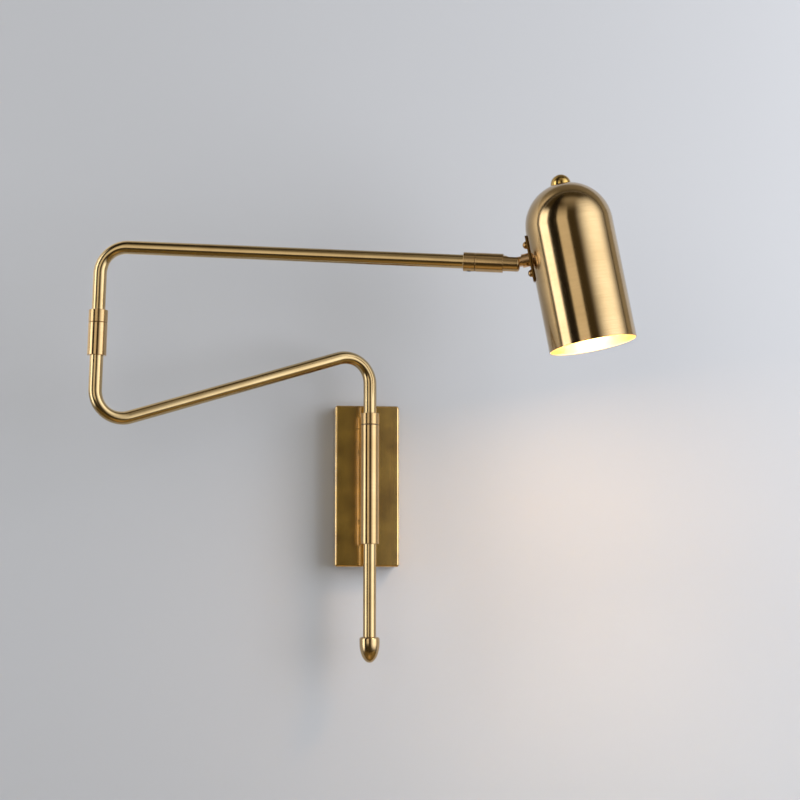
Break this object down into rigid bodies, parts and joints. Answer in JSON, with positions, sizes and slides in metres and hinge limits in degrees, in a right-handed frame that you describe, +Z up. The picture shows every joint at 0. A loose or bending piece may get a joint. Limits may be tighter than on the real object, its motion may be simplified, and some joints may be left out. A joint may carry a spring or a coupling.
{
  "type": "swing arm wall lamp",
  "caption": "Wall lamp with a sliding bent-tube post, a second tube that turns at the elbow, and a bullet shade on a ball joint.",
  "frame": {"origin": "on the wall, at the middle of the wall bracket's back face, behind the middle of the backplate", "axes": "+X to the right along the wall seen from the room, +Y into the wall, +Z up along the post"},
  "size_m": [0.4957, 0.2602, 0.4472],
  "materials": {
    "brass_plate": "brushed upright, clear lacquer",
    "brass_tube": "satin drawn tube, clear lacquer",
    "brass_turned": "satin turned, clear lacquer",
    "brass_shade": "satin spun, clear lacquer",
    "brass_fixings": "satin",
    "zinc_plated_steel": "zinc plated",
    "steel_fixings": "zinc plated",
    "nylon_bearing": "graphite-filled nylon",
    "lead_sheath": "black sheath",
    "grommet_rubber": "matt",
    "terminal_polyamide": "moulded",
    "holder_bakelite": "moulded gloss",
    "holder_ceramic": "glazed",
    "shell_aluminium": "pressed",
    "contact_brass": "pressed",
    "bulb_cap_metal": "pressed screw cap",
    "bulb_opal_glass": "opal"
  },
  "bodies": {
    "wall_mount": {"wall_bracket": "zinc_plated_steel", "canopy": "brass_plate", "canopy_screws": "brass_fixings", "terminal_block": "terminal_polyamide", "terminal_screws": "steel_fixings", "terminal_fixing_screw": "steel_fixings", "earth_screw": "steel_fixings", "earth_washer": "steel_fixings", "lead_spacer": "brass_turned", "solid_spacer": "brass_turned", "spacer_nut": "steel_fixings", "spacer_washer": "steel_fixings", "spacer_screw": "steel_fixings", "wall_sleeve": "brass_turned", "sleeve_bushes": "nylon_bearing", "canopy_lead": "lead_sheath"},
    "post_collar": {"height_collar": "brass_turned", "height_grub_screw": "steel_fixings", "thrust_washer": "nylon_bearing"},
    "lower_arm": {"lower_tube": "brass_tube", "tail_plug": "steel_fixings", "finial": "brass_turned", "elbow_sleeve": "brass_turned", "elbow_bush": "nylon_bearing", "lower_lead": "lead_sheath", "lower_grommet": "grommet_rubber"},
    "upper_arm": {"upper_tube": "brass_tube", "elbow_collar": "brass_turned", "elbow_grub_screw": "steel_fixings", "end_collar": "brass_turned", "end_grub_screw": "steel_fixings", "upper_lead": "lead_sheath", "upper_grommets": "grommet_rubber"},
    "head_swivel": {"swivel_sleeve": "brass_turned", "swivel_bush": "nylon_bearing", "ball_socket": "brass_turned", "ball_seat": "nylon_bearing", "seat_spring": "steel_fixings"},
    "stud": {"ball_stud": "brass_turned"},
    "head": {"stud_nut": "brass_turned", "stud_grub_screw": "brass_fixings", "head_strip": "brass_fixings", "strip_screws": "brass_fixings", "strip_nuts": "steel_fixings", "shade": "brass_shade", "cap_nut": "brass_turned", "top_nipple": "steel_fixings", "holder_nut": "steel_fixings", "lampholder": "holder_bakelite", "holder_core": "holder_ceramic", "thread_shell": "shell_aluminium", "centre_contact": "contact_brass", "bulb_cap": "bulb_cap_metal", "bulb_glass": "bulb_opal_glass", "head_lead": "lead_sheath"}
  },
  "joints": [
    {"name": "wall_swing", "type": "hinge", "parent": "wall_mount", "child": "post_collar", "pos_m": [0, -0.049, 0], "axis": [0, 0, 1], "range_deg": [-14, 166]},
    {"name": "post_lift", "type": "slide", "parent": "post_collar", "child": "lower_arm", "axis": [0, 0, 1], "range_m": [-0.028, 0.089]},
    {"name": "elbow_swing", "type": "hinge", "parent": "lower_arm", "child": "upper_arm", "pos_m": [-0.26448, -0.11494, 0.04706], "axis": [0.0237, 0.0059, 0.9997], "range_deg": [-165, 165]},
    {"name": "head_roll", "type": "hinge", "parent": "upper_arm", "child": "head_swivel", "pos_m": [-0.26043, -0.11393, 0.21761], "axis": [0.9706, -0.232, -0.0639], "range_deg": [-170, 170]},
    {"name": "head_tilt", "type": "hinge", "parent": "head_swivel", "child": "stud", "pos_m": [0.11229, -0.20301, 0.19308], "axis": [-0.2317, -0.9728, 0], "range_deg": [-14, 75]},
    {"name": "head_spin", "type": "hinge", "parent": "stud", "child": "head", "pos_m": [0.11229, -0.20301, 0.19308], "axis": [0.9563, -0.2278, 0.1831], "range_deg": [-170, 170]}
  ]
}
